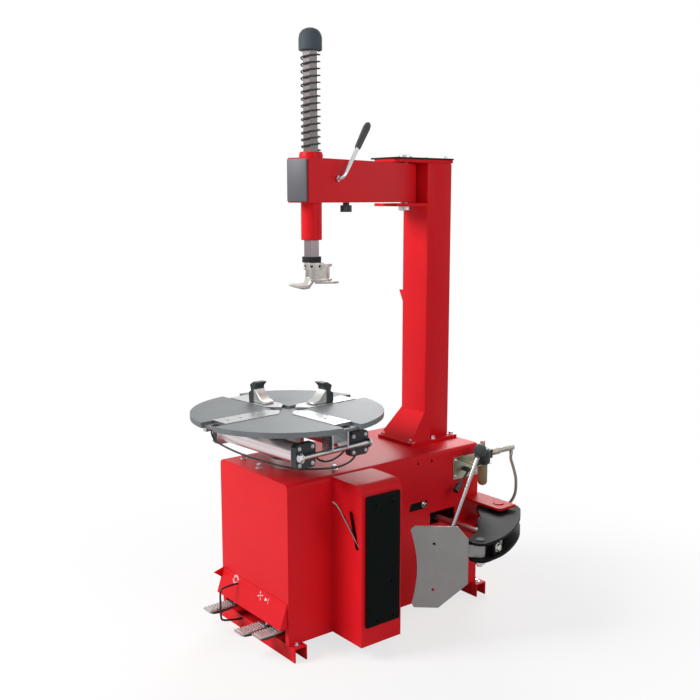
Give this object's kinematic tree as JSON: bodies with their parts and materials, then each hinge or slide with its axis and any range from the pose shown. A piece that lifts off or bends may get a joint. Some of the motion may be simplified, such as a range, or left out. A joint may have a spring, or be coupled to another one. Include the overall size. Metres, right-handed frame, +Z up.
{
  "type": "tire changer",
  "caption": "Swing-arm tire changer: slotted clamping turntable on a pedal-operated cabinet, sprung mount shaft on a column arm, and side bead breaker.",
  "frame": {"origin": "centre of the whole machine's footprint box, on the floor", "axes": "+Z up, -Y toward the operator at the pedals, +X toward the bead breaker"},
  "size_m": [0.8077, 1.0576, 1.815],
  "materials": {
    "red_paint": "gloss enamel",
    "black_paint": "satin black",
    "black_plastic": "moulded",
    "rubber": "moulded",
    "steel": "bright steel",
    "alloy": "machined",
    "zinc": "zinc plated",
    "amber": "smoked bowl",
    "grey": "moulded",
    "cast": "cast"
  },
  "bodies": {
    "base": {"cabinet": "red_paint", "foot_front": "red_paint", "foot_rear": "red_paint", "pedal_guard": "red_paint", "wire_rail": "black_paint", "wheel_rest": "red_paint", "rest_pad": "rubber", "column": "red_paint", "column_cover": "black_paint", "arm_pin": "steel", "gearbox": "cast", "motor": "grey", "drive_belt": "rubber", "breaker_lugs": "red_paint", "breaker_pin": "steel", "ram_stay": "steel", "unit_bracket": "zinc", "unit_body": "black_plastic", "unit_bowl": "amber", "air_coupler": "steel", "hose_fitting": "steel", "air_hose": "grey", "pedal_shaft": "steel", "pedal_frame": "grey", "valve_block": "alloy"},
    "turntable": {"table_disc": "alloy", "table_hub": "steel"},
    "clamp_right": {"slide_px": "steel", "clamp_cylinder_front": "alloy", "clamp_cylinder_rear": "alloy"},
    "clamp_back": {"slide_py": "steel", "jaw_py": "black_paint"},
    "clamp_left": {"slide_nx": "steel", "jaw_nx": "black_paint"},
    "clamp_front": {"slide_ny": "steel"},
    "worm_drive": {"worm_pulley": "steel"},
    "motor_drive": {"motor_pulley": "steel"},
    "arm": {"swing_arm": "red_paint", "arm_end_cover": "grey", "return_spring": "steel"},
    "lock": {"lock_lever": "steel"},
    "stop_knob": {"arm_knob": "black_plastic"},
    "shaft": {"hex_shaft": "steel", "shaft_cap": "black_plastic", "shaft_collar": "black_paint", "mount_head": "alloy"},
    "breaker": {"breaker_arm": "black_paint", "blade_pin": "steel"},
    "blade": {"breaker_blade": "steel", "breaker_handle": "steel"},
    "ram": {"breaker_ram": "alloy"},
    "ram_rod": {"breaker_rod": "steel"},
    "regulator": {"unit_knob": "steel"},
    "valve": {"valve_lever": "black_plastic"},
    "tool": {"tire_lever": "steel"},
    "pedal_a": {"pedal_turn": "alloy"},
    "pedal_b": {"pedal_breaker": "alloy"},
    "pedal_c": {"pedal_clamp": "alloy"}
  },
  "joints": [
    {"name": "table_spin", "type": "hinge", "parent": "base", "child": "turntable", "pos_m": [-0.107, -0.232, 0.6], "axis": [0, 0, 1], "continuous": true},
    {"name": "worm_spin", "type": "hinge", "parent": "base", "child": "worm_drive", "pos_m": [-0.265, -0.162, 0.446], "axis": [1, 0, 0], "continuous": true},
    {"name": "motor_spin", "type": "hinge", "parent": "base", "child": "motor_drive", "pos_m": [-0.265, 0.038, 0.285], "axis": [1, 0, 0], "continuous": true},
    {"name": "clamp_right_slide", "type": "slide", "parent": "turntable", "child": "clamp_right", "axis": [0.9971, 0.0767, 0], "range_m": [-0.028, 0.042]},
    {"name": "clamp_back_slide", "type": "slide", "parent": "turntable", "child": "clamp_back", "axis": [-0.0767, 0.9971, 0], "range_m": [-0.028, 0.042]},
    {"name": "clamp_left_slide", "type": "slide", "parent": "turntable", "child": "clamp_left", "axis": [-0.9971, -0.0767, 0], "range_m": [-0.028, 0.042]},
    {"name": "clamp_front_slide", "type": "slide", "parent": "turntable", "child": "clamp_front", "axis": [0.0767, -0.9971, 0], "range_m": [-0.028, 0.042]},
    {"name": "arm_swing", "type": "hinge", "parent": "base", "child": "arm", "pos_m": [-0.107, 0.2415, 1.4], "axis": [0, 0, 1], "range_deg": [-17.5, 80]},
    {"name": "shaft_slide", "type": "slide", "parent": "arm", "child": "shaft", "axis": [0, 0, 1], "range_m": [-0.17, 0], "stiffness_N_per_m": 420, "springref_m": 0.4, "deforming": ["return_spring"]},
    {"name": "lock_turn", "type": "hinge", "parent": "arm", "child": "lock", "pos_m": [0.02531, -0.17814, 1.408], "axis": [0.9537, 0.3007, 0], "range_deg": [-40, 60]},
    {"name": "stop_knob_turn", "type": "hinge", "parent": "arm", "child": "stop_knob", "pos_m": [-0.00476, -0.08276, 1.32], "axis": [0, 0, 1], "range_deg": [-180, 180]},
    {"name": "breaker_swing", "type": "hinge", "parent": "base", "child": "breaker", "pos_m": [0.205, 0.388, 0.31], "axis": [0, 0, 1], "range_deg": [-1, 30]},
    {"name": "blade_swivel", "type": "hinge", "parent": "breaker", "child": "blade", "pos_m": [0.371, 0.13, 0.31], "axis": [0, 0, 1], "range_deg": [-10, 10]},
    {"name": "ram_swing", "type": "hinge", "parent": "base", "child": "ram", "pos_m": [-0.242, 0.23, 0.317], "axis": [0, 0, 1], "range_deg": [-0.5, 8]},
    {"name": "ram_stroke", "type": "slide", "parent": "ram", "child": "ram_rod", "axis": [1, 0, 0], "range_m": [-0.004, 0.0706]},
    {"name": "regulator_turn", "type": "hinge", "parent": "base", "child": "regulator", "pos_m": [0.145, 0.37, 0.55], "axis": [0, 0, 1], "range_deg": [-180, 180]},
    {"name": "valve_turn", "type": "hinge", "parent": "base", "child": "valve", "pos_m": [0.0798, 0.356, 0.459], "axis": [1, 0, 0], "range_deg": [-15, 25]},
    {"name": "tool_pull", "type": "slide", "parent": "base", "child": "tool", "axis": [-0.2497, -0.3596, 0.8991], "range_m": [0, 0.1]},
    {"name": "pedal_turn_press", "type": "hinge", "parent": "base", "child": "pedal_a", "pos_m": [-0.217, -0.196, 0.09], "axis": [1, 0, 0], "range_deg": [-2, 8], "stiffness_Nm_per_rad": 90, "springref_deg": -0.69},
    {"name": "pedal_breaker_press", "type": "hinge", "parent": "base", "child": "pedal_b", "pos_m": [-0.023, -0.196, 0.09], "axis": [1, 0, 0], "range_deg": [0, 8], "stiffness_Nm_per_rad": 40, "springref_deg": -5.73},
    {"name": "pedal_clamp_press", "type": "hinge", "parent": "base", "child": "pedal_c", "pos_m": [0.029, -0.196, 0.09], "axis": [1, 0, 0], "range_deg": [0, 8], "stiffness_Nm_per_rad": 40, "springref_deg": -5.73}
  ],
  "couplings": [
    {"joint": "worm_spin", "follows": "table_spin", "ratio": 20},
    {"joint": "motor_spin", "follows": "table_spin", "ratio": 42.308},
    {"joint": "clamp_back_slide", "follows": "clamp_right_slide", "ratio": 1},
    {"joint": "clamp_left_slide", "follows": "clamp_right_slide", "ratio": 1},
    {"joint": "clamp_front_slide", "follows": "clamp_right_slide", "ratio": 1},
    {"joint": "ram_swing", "follows": "breaker_swing", "ratio": 0.256},
    {"joint": "ram_stroke", "follows": "breaker_swing", "m_per_rad": 0.134}
  ]
}
